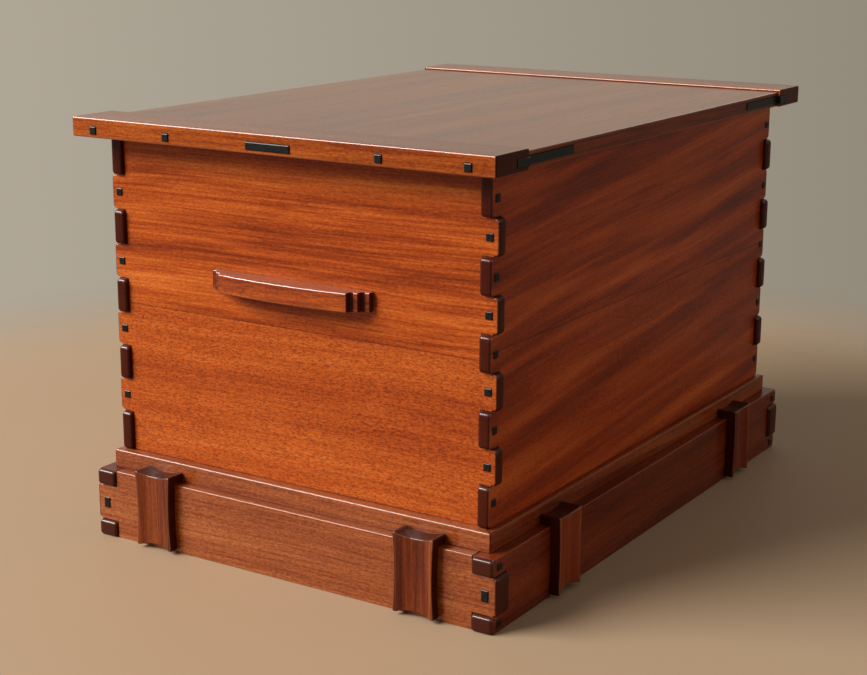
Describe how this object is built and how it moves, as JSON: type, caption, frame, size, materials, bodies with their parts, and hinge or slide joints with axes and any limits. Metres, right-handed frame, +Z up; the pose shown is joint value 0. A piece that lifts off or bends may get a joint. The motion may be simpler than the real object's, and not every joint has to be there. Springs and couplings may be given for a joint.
{
  "type": "blanket chest",
  "caption": "Wooden blanket chest with proud finger joints, ebony pegs, a bracketed plinth, carved end handles and a hinged breadboard lid.",
  "frame": {"origin": "on the floor, under the middle of the chest", "axes": "+Z up, X along the chest, -Y towards the front; the lid's hinges are on the +Y side"},
  "size_m": [0.8832, 0.6306, 0.5548],
  "materials": {
    "hardwood": "gloss",
    "ebony": "satin",
    "bottom": "satin",
    "brass": "satin"
  },
  "bodies": {
    "chest": {"panel_front": "hardwood", "panel_back": "hardwood", "panel_left_end": "hardwood", "panel_right_end": "hardwood", "bottom_board": "bottom", "base_rail_front": "hardwood", "base_rail_back": "hardwood", "base_rail_left": "hardwood", "base_rail_right": "hardwood", "base_moulding_front": "hardwood", "base_moulding_back": "hardwood", "base_moulding_left": "hardwood", "base_moulding_right": "hardwood", "bracket_front_a": "hardwood", "bracket_front_b": "hardwood", "bracket_back_a": "hardwood", "bracket_back_b": "hardwood", "bracket_left_a": "hardwood", "bracket_left_b": "hardwood", "bracket_right_a": "hardwood", "bracket_right_b": "hardwood", "handle_left": "hardwood", "handle_right": "hardwood", "hinge_leaf_box_1": "brass", "hinge_leaf_box_2": "brass", "hinge_leaf_box_3": "brass", "hinge_pin_1": "brass", "hinge_pin_2": "brass", "hinge_pin_3": "brass"},
    "lid": {"lid_panel": "hardwood", "lid_breadboard_left": "hardwood", "lid_breadboard_right": "hardwood", "lid_spline_front_left": "ebony", "lid_spline_front_right": "ebony", "lid_spline_back_left": "ebony", "lid_spline_back_right": "ebony", "lid_long_peg_left": "ebony", "lid_long_peg_right": "ebony", "lid_peg_left_1": "ebony", "lid_peg_left_2": "ebony", "lid_peg_left_3": "ebony", "lid_peg_left_4": "ebony", "lid_peg_right_1": "ebony", "lid_peg_right_2": "ebony", "lid_peg_right_3": "ebony", "lid_peg_right_4": "ebony", "hinge_leaf_lid_1": "brass", "hinge_leaf_lid_2": "brass", "hinge_leaf_lid_3": "brass"}
  },
  "joints": [
    {"name": "lid_hinge", "type": "hinge", "parent": "chest", "child": "lid", "pos_m": [0, 0.2833, 0.52985], "axis": [-1, 0, 0], "range_deg": [0, 95]}
  ]
}
